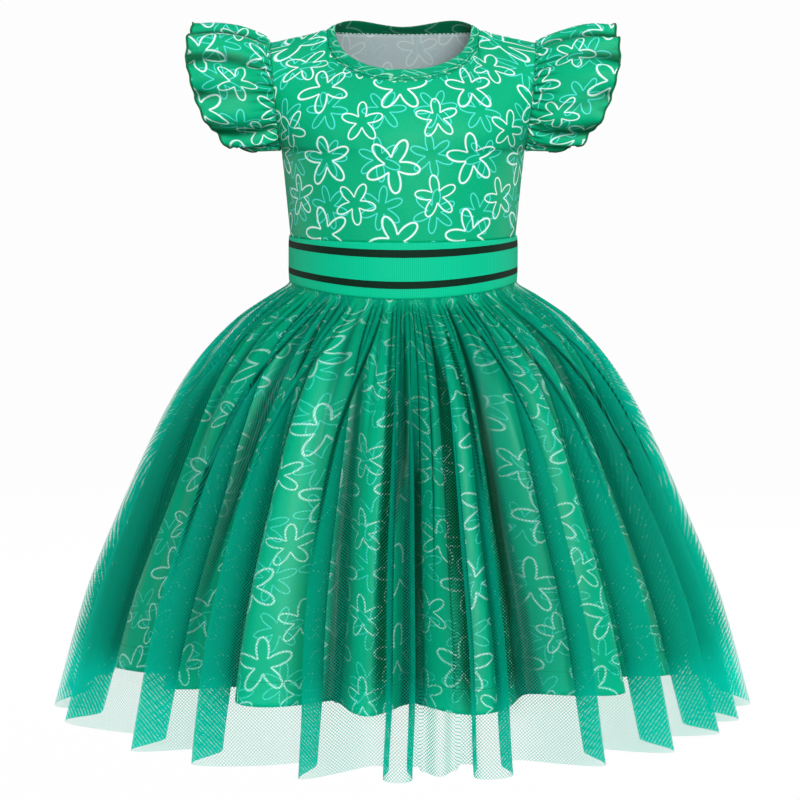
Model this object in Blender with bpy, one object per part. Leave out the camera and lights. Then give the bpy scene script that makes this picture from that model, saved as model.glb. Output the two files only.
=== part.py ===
"""A girl's party dress with flutter sleeves, in the hollow shape it has when worn.

A knit bodice and a gathered satin underskirt meet at a flat waistband, and a longer skirt of net
hangs over the satin in uneven pleats. Sizes are in millimetres and become metres in cloth().
The wearer faces -Y, +Z is up, and the origin lies midway between the shoulder seams at neck height.
"""

import math

import bmesh
import bpy
from mathutils import Vector

MM = 0.001
SEAM_GAP = 0.3
SIDE_SHIFT = 0.4

# Wall thickness of each cloth
BODICE_WALL = 1.2
BAND_WALL = 2.4
NET_WALL = 1.0
SATIN_WALL = 1.0
SLEEVE_WALL = 1.2
BINDING_WALL = 2.0

# Waist and waistband
WAIST_HALF_WIDTH = 93.5
WAIST_HALF_DEPTH = 78.0
BAND_PROUD = 1.0
BAND_TOP_Z = -168.0
BAND_SIDE_BOTTOM_Z = -206.0
BAND_FRONT_DIP = 8.0
BAND_COLUMNS = 18
BAND_ROWS = 2

# Shoulders and neck opening
NECK_HALF_WIDTH = 63.5
NECK_CENTRE_Y = 6.0
NECK_FRONT_REACH = 63.0
NECK_BACK_REACH = 34.0
NECK_FRONT_DROP = 39.0
NECK_BACK_DROP = 2.5
NECK_ROUNDNESS = 2.3
SHOULDER_TIP = Vector((109.0, 2.0, -9.0))
SHOULDER_COLUMNS = 4
NECK_COLUMNS = 12
SHOULDER_CREST = 6.0
CREST_DROP = 0.6
CREST_SHARE = 0.3

# Neck binding, a folded strip that stands up from the neck edge
BINDING_INNER_HALF_WIDTH = 56.0
BINDING_INNER_FRONT = 56.0
BINDING_INNER_BACK = 27.0
BINDING_FRONT_Z = -30.0
BINDING_SIDE_Z = 5.0
BINDING_BACK_Z = 3.3
BINDING_NAPE_RISE = 4.2
BINDING_START = 1.3
BINDING_STEPS = 36

# Armhole, an upright oval on each side
ARM_CENTRE_Z = -53.5
ARM_HALF_HEIGHT = 44.5
ARM_HALF_DEPTH = 38.0
ARMPIT_HALF_WIDTH = 100.5
ARMPIT_Z = ARM_CENTRE_Z - ARM_HALF_HEIGHT

# Bodice rows below the armpit, as half width, height, and how far the front and the back stand out
BODICE_ROWS = [
    {"half_width": WAIST_HALF_WIDTH, "z": BAND_TOP_Z, "front": 78.0, "back": 78.0},
    {"half_width": 95.6, "z": -147.0, "front": 79.5, "back": 77.0},
    {"half_width": 98.0, "z": -122.0, "front": 81.0, "back": 76.5},
    {"half_width": ARMPIT_HALF_WIDTH, "z": ARMPIT_Z, "front": 81.5, "back": 76.0},
]

# Bodice rows beside the armhole, by the angle round it from the shoulder tip down to the armpit.
# centre_z is the height at the middle of the row, and top_share how much of the neck and
# shoulder line's shape the row has.
ARMHOLE_ROWS = [
    {"angle": 150, "centre_z": -92.0, "front": 81.5, "back": 75.0, "sweep": 84, "top_share": 0.0},
    {"angle": 118, "centre_z": -82.0, "front": 80.0, "back": 73.5, "sweep": 76, "top_share": 0.0},
    {"angle": 92, "centre_z": -71.0, "front": 76.0, "back": 70.0, "sweep": 70, "top_share": 0.06},
    {"angle": 66, "centre_z": -61.0, "front": 71.0, "back": 64.5, "sweep": 64, "top_share": 0.2},
    {"angle": 38, "centre_z": -51.0, "front": 65.0, "back": 55.0, "sweep": 58, "top_share": 0.5},
]

# Skirt rows, from the waist seam down. The crest is where the pleats reach furthest out.
NET_ROWS = [
    {"z": BAND_SIDE_BOTTOM_Z, "width": 94.4, "depth": 78.9, "gather": 0.0, "pleat": 0.0, "lean": 0.0},
    {"z": -208.0, "width": 94.4, "depth": 78.9, "gather": 0.0, "pleat": 0.0, "lean": 0.0},
    {"z": -219.0, "width": 114.0, "depth": 98.0, "gather": 2.4, "pleat": 0.06, "lean": 0.0},
    {"z": -238.0, "width": 142.0, "depth": 125.0, "gather": 2.2, "pleat": 0.2, "lean": 0.2},
    {"z": -268.0, "width": 171.0, "depth": 151.0, "gather": 1.2, "pleat": 0.42, "lean": 0.6},
    {"z": -310.0, "width": 196.0, "depth": 174.0, "gather": 0.5, "pleat": 0.62, "lean": 1.0},
    {"z": -375.0, "width": 226.0, "depth": 200.0, "gather": 0.0, "pleat": 0.82, "lean": 1.2},
    {"z": -460.0, "width": 261.0, "depth": 230.0, "gather": 0.0, "pleat": 0.95, "lean": 1.1},
    {"z": -560.0, "width": 290.0, "depth": 255.0, "gather": 0.0, "pleat": 1.0, "lean": 1.0},
]
NET_MEAN_DEPTH = 27.0
SATIN_ROWS = [
    {"z": BAND_SIDE_BOTTOM_Z, "width": 92.8, "depth": 77.3, "pleat": 0.0, "lean": 0.0},
    {"z": -211.0, "width": 92.8, "depth": 77.3, "pleat": 0.0, "lean": 0.0},
    {"z": -238.0, "width": 128.0, "depth": 111.0, "pleat": 0.25, "lean": 0.3},
    {"z": -268.0, "width": 151.0, "depth": 132.0, "pleat": 0.45, "lean": 0.6},
    {"z": -310.0, "width": 174.0, "depth": 152.0, "pleat": 0.65, "lean": 0.9},
    {"z": -375.0, "width": 200.0, "depth": 174.0, "pleat": 0.85, "lean": 1.0},
    {"z": -460.0, "width": 232.0, "depth": 201.0, "pleat": 0.95, "lean": 1.0},
    {"z": -518.0, "width": 248.0, "depth": 215.0, "pleat": 1.0, "lean": 1.0},
]
SATIN_MEAN_DEPTH = 16.0

# Pleats across each half, in degrees round the skirt from the half's left edge as seen from outside.
# lean pushes a pleat's crest sideways until it laps its neighbour, and pinch narrows its neck.
NET_FRONT_PLEATS = [
    {"width": 20, "depth": 31, "lean": -0.2, "pinch": 0.0, "columns": 8},
    {"width": 24, "depth": 30, "lean": -0.55, "pinch": 0.0, "columns": 8},
    {"width": 13, "depth": 28, "lean": -0.65, "pinch": 0.0, "columns": 8},
    {"width": 18, "depth": 29, "lean": -0.55, "pinch": 0.0, "columns": 8},
    {"width": 11, "depth": 25, "lean": -0.6, "pinch": 0.0, "columns": 8},
    {"width": 8, "depth": 25, "lean": 0.0, "pinch": 0.16, "columns": 8},
    {"width": 6, "depth": 9, "lean": 0.0, "pinch": 0.0, "columns": 4},
    {"width": 10, "depth": 26, "lean": 0.0, "pinch": 0.16, "columns": 8},
    {"width": 13, "depth": 26, "lean": 0.5, "pinch": 0.0, "columns": 8},
    {"width": 13, "depth": 29, "lean": 0.6, "pinch": 0.0, "columns": 8},
    {"width": 13, "depth": 28, "lean": 0.65, "pinch": 0.0, "columns": 8},
    {"width": 13, "depth": 27, "lean": 0.5, "pinch": 0.0, "columns": 8},
    {"width": 18, "depth": 30, "lean": 0.2, "pinch": 0.0, "columns": 8},
]
NET_BACK_PLEATS = [
    {"width": 17, "depth": 28, "lean": -0.2, "pinch": 0.0, "columns": 8},
    {"width": 15, "depth": 27, "lean": -0.5, "pinch": 0.0, "columns": 8},
    {"width": 18, "depth": 29, "lean": -0.6, "pinch": 0.0, "columns": 8},
    {"width": 12, "depth": 26, "lean": -0.6, "pinch": 0.0, "columns": 8},
    {"width": 14, "depth": 28, "lean": -0.45, "pinch": 0.0, "columns": 8},
    {"width": 7, "depth": 10, "lean": 0.0, "pinch": 0.0, "columns": 4},
    {"width": 9, "depth": 25, "lean": 0.0, "pinch": 0.16, "columns": 8},
    {"width": 13, "depth": 24, "lean": 0.0, "pinch": 0.12, "columns": 8},
    {"width": 16, "depth": 28, "lean": 0.5, "pinch": 0.0, "columns": 8},
    {"width": 12, "depth": 27, "lean": 0.65, "pinch": 0.0, "columns": 8},
    {"width": 17, "depth": 29, "lean": 0.6, "pinch": 0.0, "columns": 8},
    {"width": 13, "depth": 26, "lean": 0.5, "pinch": 0.0, "columns": 8},
    {"width": 17, "depth": 28, "lean": 0.2, "pinch": 0.0, "columns": 8},
]
SATIN_FRONT_PLEATS = [
    {"width": 15, "depth": 11, "lean": 0.0, "pinch": 0.0, "columns": 6},
    {"width": 22, "depth": 17, "lean": -0.35, "pinch": 0.0, "columns": 6},
    {"width": 16, "depth": 16, "lean": -0.35, "pinch": 0.0, "columns": 6},
    {"width": 23, "depth": 18, "lean": -0.2, "pinch": 0.0, "columns": 6},
    {"width": 16, "depth": 15, "lean": 0.0, "pinch": 0.0, "columns": 6},
    {"width": 25, "depth": 18, "lean": 0.0, "pinch": 0.0, "columns": 6},
    {"width": 23, "depth": 17, "lean": 0.25, "pinch": 0.0, "columns": 6},
    {"width": 17, "depth": 17, "lean": 0.35, "pinch": 0.0, "columns": 6},
    {"width": 23, "depth": 12, "lean": 0.0, "pinch": 0.0, "columns": 6},
]
SATIN_BACK_PLEATS = [
    {"width": 19, "depth": 12, "lean": 0.0, "pinch": 0.0, "columns": 6},
    {"width": 18, "depth": 16, "lean": -0.3, "pinch": 0.0, "columns": 6},
    {"width": 24, "depth": 18, "lean": -0.25, "pinch": 0.0, "columns": 6},
    {"width": 17, "depth": 15, "lean": -0.1, "pinch": 0.0, "columns": 6},
    {"width": 22, "depth": 17, "lean": 0.0, "pinch": 0.0, "columns": 6},
    {"width": 19, "depth": 16, "lean": 0.1, "pinch": 0.0, "columns": 6},
    {"width": 24, "depth": 18, "lean": 0.25, "pinch": 0.0, "columns": 6},
    {"width": 18, "depth": 16, "lean": 0.3, "pinch": 0.0, "columns": 6},
    {"width": 19, "depth": 12, "lean": 0.0, "pinch": 0.0, "columns": 6},
]

# Flutter sleeve, by the angle round the armhole from the shoulder: how far it stands out sideways
# and how far its hem moves away from the middle of the armhole.
SLEEVE_SPREAD = [
    {"angle": 0, "out": 63.0, "flare": 12.0},
    {"angle": 60, "out": 69.0, "flare": 19.0},
    {"angle": 90, "out": 63.0, "flare": 21.0},
    {"angle": 120, "out": 51.0, "flare": 12.0},
    {"angle": 150, "out": 35.0, "flare": 3.0},
    {"angle": 168, "out": 20.0, "flare": 1.0},
]
SLEEVE_END_ANGLE = 168.0
SLEEVE_ROOT_GAP = 0.7
SLEEVE_WAVES = 11
COLUMNS_A_WAVE = 4
# Sleeve rows from the armhole seam to the edge: share of the way out, share of the flare, and wave height
SLEEVE_ROWS = [
    {"out": 0.0, "flare": 0.0, "wave": 0.0},
    {"out": 0.08, "flare": 0.28, "wave": 1.6},
    {"out": 0.34, "flare": 0.8, "wave": 2.2},
    {"out": 0.66, "flare": 1.05, "wave": 3.2},
    {"out": 1.0, "flare": 0.95, "wave": 5.0},
]

# Cloth colours, linear RGB
KNIT_GREEN = (0.005, 0.47, 0.24)
BAND_GREEN = (0.006, 0.5, 0.28)
NET_GREEN = (0.006, 0.36, 0.24)


def material(name, colour, roughness):
    """A plain cloth finish."""
    made = bpy.data.materials.new(name)
    made.use_nodes = True
    shader = made.node_tree.nodes["Principled BSDF"]
    shader.inputs["Base Color"].default_value = (*colour, 1.0)
    shader.inputs["Roughness"].default_value = roughness
    shader.inputs["Metallic"].default_value = 0.0
    return made


def cloth(name, rows, wall, finish):
    """A sheet through rows of points on the cloth's outer face, run left to right as seen from
    outside and listed from the lowest row up, thickened inwards."""
    shape = bmesh.new()
    lines = [[shape.verts.new(point * MM) for point in row] for row in rows]
    for low, high in zip(lines, lines[1:]):
        for i in range(len(low) - 1):
            shape.faces.new((low[i], low[i + 1], high[i + 1], high[i]))
    return finished(name, shape, finish, wall)


def finished(name, shape, finish, wall=None):
    """The bmesh as a named, smooth object, with a thickness where it is an open sheet."""
    mesh = bpy.data.meshes.new(name)
    shape.to_mesh(mesh)
    shape.free()
    mesh.materials.append(finish)
    mesh.shade_smooth()
    piece = bpy.data.objects.new(name, mesh)
    bpy.context.collection.objects.link(piece)
    if wall:
        thick = piece.modifiers.new("cloth", "SOLIDIFY")
        thick.thickness = wall * MM
        thick.offset = -1.0
    return piece


def rounded(share, power=NECK_ROUNDNESS):
    """A superellipse: 1 at the middle of a span, 0 at share 1, its end."""
    return max(0.0, 1.0 - abs(share) ** power) ** (1.0 / power)


def between(table, key, column, value):
    """The column's value where the key column reaches the value, along straight lines."""
    for first, last in zip(table, table[1:]):
        if value <= last[key]:
            share = (value - first[key]) / (last[key] - first[key])
            return first[column] + (last[column] - first[column]) * share
    return table[-1][column]


def dip(angle):
    """How much lower the waist seam and the skirts hang at the front and back than at the sides."""
    return -BAND_FRONT_DIP * math.cos(angle) ** 2


# Bodice


def armhole_point(angle, facing):
    """A point on the edge of the +X armhole, by the angle down from the shoulder tip. facing is -1
    in front."""
    up = math.cos(angle)
    half_width = ARMPIT_HALF_WIDTH + (SHOULDER_TIP.x - ARMPIT_HALF_WIDTH) * (1 + up) / 2
    seam_y = SHOULDER_TIP.y * (1 + up) / 2
    return Vector((half_width, seam_y + facing * ARM_HALF_DEPTH * math.sin(angle), ARM_CENTRE_Z + ARM_HALF_HEIGHT * up))


def neck_point(angle):
    """A point on the neck edge, by the angle from the middle of the front."""
    x, forward = math.sin(angle), math.cos(angle)
    reach, drop = (NECK_FRONT_REACH, NECK_FRONT_DROP) if forward > 0 else (NECK_BACK_REACH, NECK_BACK_DROP)
    return Vector((NECK_HALF_WIDTH * x, NECK_CENTRE_Y - reach * forward, -drop * rounded(x)))


def top_edge(facing):
    """The shoulder line, the neck edge and the other shoulder line, from -X to +X."""
    quarter = math.pi / 2
    neck = []
    for i in range(NECK_COLUMNS + 1):
        swing = -quarter + math.pi * i / NECK_COLUMNS
        neck.append(neck_point(swing if facing < 0 else math.pi - swing))
    right = [neck[-1].lerp(SHOULDER_TIP, i / SHOULDER_COLUMNS) for i in range(1, SHOULDER_COLUMNS + 1)]
    left = [Vector((-point.x, point.y, point.z)) for point in reversed(right)]
    return left + neck + right


def bodice_arc(edge, middle, sweep, columns):
    """A row from the -X edge round to the +X edge, bulging to the middle point."""
    sweep = math.radians(sweep)
    row = []
    for i in range(columns + 1):
        angle = sweep * (2 * i / columns - 1)
        depth = (1 - math.cos(angle)) / (1 - math.cos(sweep))
        row.append(
            Vector(
                (
                    edge.x * math.sin(angle) / math.sin(sweep),
                    middle.y + (edge.y - middle.y) * depth,
                    middle.z + (edge.z - middle.z) * depth,
                )
            )
        )
    return row


def bodice_rows(facing):
    """Rows of the front panel, facing -1, or of the back panel, facing 1, from the waist up."""
    column = "front" if facing < 0 else "back"
    columns = NECK_COLUMNS + 2 * SHOULDER_COLUMNS
    half_gap = Vector((0, facing * SIDE_SHIFT, 0))
    rows = []
    for row in BODICE_ROWS:
        edge = Vector((row["half_width"], 0, row["z"]))
        middle = Vector((0, facing * row[column], row["z"]))
        rows.append(bodice_arc(edge, middle, 90, columns))
    top = top_edge(facing)
    for row in ARMHOLE_ROWS:
        edge = armhole_point(math.radians(row["angle"]), facing)
        middle = Vector((0, facing * row[column], row["centre_z"]))
        arc = bodice_arc(edge, middle, row["sweep"], columns)
        flat = bodice_arc(SHOULDER_TIP, top[columns // 2], row["sweep"], columns)
        share = row["top_share"]
        rows.append([point + (end - plain) * share for point, end, plain in zip(arc, top, flat)])
    crest = [point + Vector((0, facing * SHOULDER_CREST, -CREST_DROP)) for point in top]
    for i in range(SHOULDER_COLUMNS + 1, columns - SHOULDER_COLUMNS):
        crest[i] = top[i].lerp(rows[-1][i], CREST_SHARE)
    rows += [crest, top]
    rows = [[point + half_gap for point in row] for row in rows]
    rows[0] = [point + Vector((0, 0, SEAM_GAP / 2)) for point in rows[0]]
    return rows if facing < 0 else [row[::-1] for row in rows]


def bodice(finish):
    """The front and back of the knit bodice, each cut in one piece."""
    cloth("bodice_front", bodice_rows(-1), BODICE_WALL, finish)
    cloth("bodice_back", bodice_rows(1), BODICE_WALL, finish)


def neck_binding(finish):
    """One folded strip of the bodice's knit, set round the neck edge and standing up from it."""
    shape = bmesh.new()
    rings = []
    for i in range(BINDING_STEPS):
        angle = 2 * math.pi * i / BINDING_STEPS
        x, forward = math.sin(angle), math.cos(angle)
        foot = neck_point(angle)
        if forward > 0:
            share = rounded(x)
            reach, z = BINDING_INNER_FRONT, BINDING_FRONT_Z * share + BINDING_SIDE_Z * (1 - share)
        else:
            side = BINDING_BACK_Z + (BINDING_SIDE_Z - BINDING_BACK_Z) * abs(x)
            reach, z = BINDING_INNER_BACK, side + BINDING_NAPE_RISE * math.sin(2 * angle) ** 2
        edge = Vector((BINDING_INNER_HALF_WIDTH * x, NECK_CENTRE_Y - reach * forward, z))
        up = (edge - foot).normalized()
        along = Vector((forward, x, 0))
        out = along.cross(up).normalized()
        foot = foot + up * BINDING_START + out * BODICE_WALL / 4
        half, roll = BINDING_WALL / 2, BINDING_WALL * 0.4
        back = foot - out * BINDING_WALL
        profile = [foot, edge - up * roll + out * half / 2, edge - out * half / 2, edge - up * roll - out * half * 1.5, back]
        rings.append([shape.verts.new(point * MM) for point in profile])
    for ring, following in zip(rings, rings[1:] + rings[:1]):
        for i in range(len(ring)):
            j = (i + 1) % len(ring)
            shape.faces.new((ring[i], following[i], following[j], ring[j]))
    finished("neck_binding", shape, finish)


def waistband(finish):
    """The flat band's front and back, which meet at the side seams."""
    for name, start in (("waistband_front", -math.pi / 2), ("waistband_back", math.pi / 2)):
        rows = []
        for r in range(BAND_ROWS + 1):
            row = []
            for i in range(BAND_COLUMNS + 1):
                angle = start + math.pi * i / BAND_COLUMNS
                low = BAND_SIDE_BOTTOM_Z + dip(angle) + SEAM_GAP / 2
                z = low + (BAND_TOP_Z - SEAM_GAP / 2 - low) * r / BAND_ROWS
                row.append(ring_point(WAIST_HALF_WIDTH + BAND_PROUD, WAIST_HALF_DEPTH + BAND_PROUD, angle, z))
            rows.append(seam_shift(row, start))
        cloth(name, rows, BAND_WALL, finish)


# Skirts


def ring_point(half_width, half_depth, angle, z, out=0.0):
    """A point on an oval ring, by the angle from the middle of the front, moved straight out from it."""
    x, forward = math.sin(angle), math.cos(angle)
    normal = Vector((x * half_depth, -forward * half_width, 0)).normalized()
    return Vector((half_width * x, -half_depth * forward, z)) + normal * out


def seam_shift(row, start):
    """The row moved off the side seams by its share of the gap there."""
    facing = -1 if start < 0 else 1
    return [point + Vector((0, facing * SIDE_SHIFT, 0)) for point in row]


def skirt_rows(table, pleats, mean_depth, start):
    """Rows of one skirt panel from the hem up. Each pleat is one rounded wave of the cloth, and near
    the waist every second column stands back to draw the gathers."""
    rows = []
    for section in reversed(table):
        row, column, reached = [], 0, start
        base_width = section["width"] - section["pleat"] * mean_depth
        base_depth = section["depth"] - section["pleat"] * mean_depth
        for number, pleat in enumerate(pleats):
            width = math.radians(pleat["width"])
            last = number == len(pleats) - 1
            for i in range(pleat["columns"] + last):
                share = i / pleat["columns"]
                wave = (1 - math.cos(2 * math.pi * share)) / 2
                lean = pleat["lean"] * wave + pleat["pinch"] * math.sin(4 * math.pi * share)
                angle = reached + width * (share + section["lean"] * lean)
                gather = section.get("gather", 0.0) * ((column + 1) % 2)
                z = section["z"] + dip(angle) - SEAM_GAP / 2
                out = pleat["depth"] * section["pleat"] * wave - gather
                row.append(ring_point(base_width, base_depth, angle, z, out))
                column += 1
            reached += width
        rows.append(seam_shift(row, start))
    return rows


def skirts(satin, net):
    """The satin underskirt and the net overskirt, each a front and a back joined at the sides."""
    front, back = -math.pi / 2, math.pi / 2
    for name, pleats, start in (
        ("underskirt_front", SATIN_FRONT_PLEATS, front),
        ("underskirt_back", SATIN_BACK_PLEATS, back),
    ):
        cloth(name, skirt_rows(SATIN_ROWS, pleats, SATIN_MEAN_DEPTH, start), SATIN_WALL, satin)
    for name, pleats, start in (
        ("net_skirt_front", NET_FRONT_PLEATS, front),
        ("net_skirt_back", NET_BACK_PLEATS, back),
    ):
        cloth(name, skirt_rows(NET_ROWS, pleats, NET_MEAN_DEPTH, start), NET_WALL, net)


# Sleeves


def sleeve(name, side, finish):
    """A ruffle gathered to the armhole from under the arm in front, over the shoulder, to under it behind."""
    columns = SLEEVE_WAVES * COLUMNS_A_WAVE
    rows = []
    for section in SLEEVE_ROWS:
        row = []
        for i in range(columns + 1):
            angle = math.radians(SLEEVE_END_ANGLE) * (2 * i / columns - 1)
            turn = abs(math.degrees(angle))
            facing = -1 if angle < 0 else 1
            root = armhole_point(abs(angle), facing)
            away = Vector((0, math.sin(angle), math.cos(angle)))
            out = between(SLEEVE_SPREAD, "angle", "out", turn) * section["out"]
            flare = between(SLEEVE_SPREAD, "angle", "flare", turn) * section["flare"]
            wave = section["wave"] * math.sin(2 * math.pi * i / COLUMNS_A_WAVE)
            point = root + Vector((SLEEVE_ROOT_GAP + out, 0, 0)) + away * (flare + wave)
            row.append(Vector((side * point.x, point.y, point.z)))
        rows.append(row)
    if side < 0:
        rows = [row[::-1] for row in rows]
    cloth(name, rows[::-1], SLEEVE_WALL, finish)


def main():
    for old in list(bpy.data.objects):
        bpy.data.objects.remove(old)
    knit = material("printed_knit", KNIT_GREEN, 0.6)
    band = material("band_knit", BAND_GREEN, 0.6)
    satin = material("printed_satin", KNIT_GREEN, 0.45)
    net = material("green_net", NET_GREEN, 0.7)
    bodice(knit)
    neck_binding(knit)
    sleeve("sleeve_left", 1, knit)
    sleeve("sleeve_right", -1, knit)
    waistband(band)
    skirts(satin, net)


main()
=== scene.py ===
"""A girl's party dress in the filled-out shape it has when worn: a printed knit bodice with flutter
sleeves, a striped waistband, and a gathered satin skirt under a longer skirt of green net.

Sizes are in millimetres until a point is placed. The wearer faces -Y and the origin lies midway
between the shoulder seams.
"""

import math

import bmesh
import bpy
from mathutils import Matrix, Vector, noise


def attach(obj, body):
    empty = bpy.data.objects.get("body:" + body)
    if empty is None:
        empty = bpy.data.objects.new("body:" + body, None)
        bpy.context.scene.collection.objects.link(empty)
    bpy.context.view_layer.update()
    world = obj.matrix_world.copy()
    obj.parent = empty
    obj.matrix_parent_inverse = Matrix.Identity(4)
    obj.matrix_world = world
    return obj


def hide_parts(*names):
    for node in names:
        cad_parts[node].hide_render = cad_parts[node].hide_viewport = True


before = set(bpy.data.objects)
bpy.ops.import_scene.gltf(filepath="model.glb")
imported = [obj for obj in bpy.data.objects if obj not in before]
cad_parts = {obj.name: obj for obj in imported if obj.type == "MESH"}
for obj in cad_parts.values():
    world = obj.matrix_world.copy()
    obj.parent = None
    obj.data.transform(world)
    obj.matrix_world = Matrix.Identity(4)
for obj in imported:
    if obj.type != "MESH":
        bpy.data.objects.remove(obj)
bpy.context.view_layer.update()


# Bodice. The front and the back are each one cut of polyester satin knit, bright green with outline
# flowers in white and pale aqua. The print is on one face only, so the inside is grey with a ghost
# of it. The cuts are sewn at the shoulders and sides, and drawn smooth over the body.

MM = 0.001
WAIST_HALF_WIDTH = 93.5
WAIST_HALF_DEPTH = 78.0
WAIST_TOP_Z = -168.0

NECK_HALF_WIDTH = 63.5
NECK_CENTRE_Y = 6.0
NECK_FRONT_REACH = 63.0
NECK_BACK_REACH = 34.0
NECK_FRONT_DROP = 39.0
NECK_BACK_DROP = 2.5
NECK_ROUNDNESS = 2.3
SHOULDER_TIP = Vector((109.0, 2.0, -9.0))
SHOULDER_COLUMNS = 4
NECK_COLUMNS = 12
SHOULDER_CREST = 6.0

ARM_CENTRE_Z = -53.5
ARM_HALF_HEIGHT = 44.5
ARM_HALF_DEPTH = 38.0
ARMPIT_HALF_WIDTH = 100.5
ARMPIT_Z = ARM_CENTRE_Z - ARM_HALF_HEIGHT

# Rows below the armpit: half width, height, and how far the front and back stand out
SIDE_ROWS = [
    {"half_width": WAIST_HALF_WIDTH, "z": WAIST_TOP_Z, "front": 78.0, "back": 78.0},
    {"half_width": 95.6, "z": -147.0, "front": 79.5, "back": 77.0},
    {"half_width": 98.0, "z": -122.0, "front": 81.0, "back": 76.5},
    {"half_width": ARMPIT_HALF_WIDTH, "z": ARMPIT_Z, "front": 81.5, "back": 76.0},
]
# Rows beside the armhole, by the angle round it from the shoulder tip down
ARMHOLE_ROWS = [
    {"angle": 150, "centre_z": -92.0, "front": 81.5, "back": 75.0, "sweep": 84, "top_share": 0.0},
    {"angle": 118, "centre_z": -82.0, "front": 80.0, "back": 73.5, "sweep": 76, "top_share": 0.0},
    {"angle": 92, "centre_z": -71.0, "front": 76.0, "back": 70.0, "sweep": 70, "top_share": 0.06},
    {"angle": 66, "centre_z": -61.0, "front": 71.0, "back": 64.5, "sweep": 64, "top_share": 0.2},
    {"angle": 38, "centre_z": -51.0, "front": 65.0, "back": 55.0, "sweep": 58, "top_share": 0.5},
]
BODICE_WALL = 1.0
BODICE_CREASE = 1.5
BODICE_COLUMNS = 120
BODICE_ROWS = 90


def smooth_between(points, share, knots=None):
    """The value at this share of the way along a smooth line through the listed ones, which lie at
    the knots, or at even steps from 0 to 1."""
    last = len(points) - 1
    knots = knots or [i / last for i in range(last + 1)]
    share = min(max(share, knots[0]), knots[-1])
    i = 0
    while i < last - 1 and share > knots[i + 1]:
        i += 1
    span = knots[i + 1] - knots[i]
    t = (share - knots[i]) / span
    slopes = []
    for j in (i, i + 1):
        low, high = max(j - 1, 0), min(j + 1, last)
        slopes.append((points[high] - points[low]) * (span / (knots[high] - knots[low])))
    start = points[i] * (2 * t**3 - 3 * t**2 + 1) + slopes[0] * (t**3 - 2 * t**2 + t)
    return start + points[i + 1] * (3 * t**2 - 2 * t**3) + slopes[1] * (t**3 - t**2)


def cloth(name, columns, rows, place, cut="stretched", print_shift=0.0):
    """One cut of cloth: a flat grid with each point moved to place(across, up), in millimetres. The UV
    is where the point lies on the flat cloth, in metres: by the lengths along the rows and columns, or
    by the free edge's length all the way up on a gathered cut, or on part of a ring on a flared one."""
    sheet = bmesh.new()
    bmesh.ops.create_grid(sheet, x_segments=columns, y_segments=rows, size=0.5)
    for vert in sheet.verts:
        vert.co = place(vert.co.x + 0.5, vert.co.y + 0.5) * MM
    verts, wide = list(sheet.verts), columns + 1
    along, rise = [0.0] * len(verts), [0.0] * len(verts)
    for i, vert in enumerate(verts):
        if i % wide:
            along[i] = along[i - 1] + (vert.co - verts[i - 1].co).length
        if i >= wide:
            rise[i] = rise[i - wide] + (vert.co - verts[i - wide].co).length
    middle, hem, waist, length = columns // 2, along[columns], along[-1], rise[-1]
    spread = (hem - waist) / length
    flat = []
    for i in range(len(verts)):
        row = i - i % wide
        if cut == "gathered":
            flat.append((along[i % wide], rise[i]))
        elif cut == "flared":
            turn = spread * (along[i] / along[row + columns] - 0.5)
            radius = waist / spread + length - rise[i]
            flat.append((radius * math.sin(turn), -radius * math.cos(turn)))
        else:
            flat.append((along[i] - along[row + middle], rise[i]))
    uv = sheet.loops.layers.uv.new("cut")
    for face in sheet.faces:
        for loop in face.loops:
            u, v = flat[loop.vert.index]
            loop[uv].uv = (u + print_shift, v)
    return finished(name, sheet)


def finished(name, shape):
    """The bmesh as a smooth object that moves with the dress."""
    mesh = bpy.data.meshes.new(name)
    shape.to_mesh(mesh)
    shape.free()
    mesh.shade_smooth()
    piece = bpy.data.objects.new(name, mesh)
    bpy.context.collection.objects.link(piece)
    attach(piece, "root")
    return piece


def thicken(piece, wall, finishes):
    """Gives the cloth its thickness, inwards, with the first finish outside and the last one inside."""
    for finish in finishes:
        piece.data.materials.append(finish)
    thick = piece.modifiers.new("cloth thickness", "SOLIDIFY")
    thick.thickness = wall * MM
    thick.offset = -1.0
    thick.material_offset = len(finishes) - 1


def armhole_point(angle, facing):
    """A point on the armhole of the wearer's left, by the angle down from the shoulder tip."""
    up = math.cos(angle)
    half_width = ARMPIT_HALF_WIDTH + (SHOULDER_TIP.x - ARMPIT_HALF_WIDTH) * (1 + up) / 2
    seam_y = SHOULDER_TIP.y * (1 + up) / 2
    y = seam_y + facing * ARM_HALF_DEPTH * math.sin(angle)
    return Vector((half_width, y, ARM_CENTRE_Z + ARM_HALF_HEIGHT * up))


def rounded(share):
    """A superellipse: 1 at the middle of a span and 0 at its end."""
    return max(0.0, 1.0 - abs(share) ** NECK_ROUNDNESS) ** (1.0 / NECK_ROUNDNESS)


def neck_point(angle):
    """A point on the neck edge, by the angle from the middle of the front."""
    x, forward = math.sin(angle), math.cos(angle)
    reach, drop = (NECK_FRONT_REACH, NECK_FRONT_DROP) if forward > 0 else (NECK_BACK_REACH, NECK_BACK_DROP)
    return Vector((NECK_HALF_WIDTH * x, NECK_CENTRE_Y - reach * forward, -drop * rounded(x)))


def top_edge(facing):
    """The shoulder line, the neck edge and the other shoulder line."""
    neck = []
    for i in range(NECK_COLUMNS + 1):
        swing = -math.pi / 2 + math.pi * i / NECK_COLUMNS
        neck.append(neck_point(swing if facing < 0 else math.pi - swing))
    right = [neck[-1].lerp(SHOULDER_TIP, i / SHOULDER_COLUMNS) for i in range(1, SHOULDER_COLUMNS + 1)]
    left = [Vector((-point.x, point.y, point.z)) for point in reversed(right)]
    return left + neck + right


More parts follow.
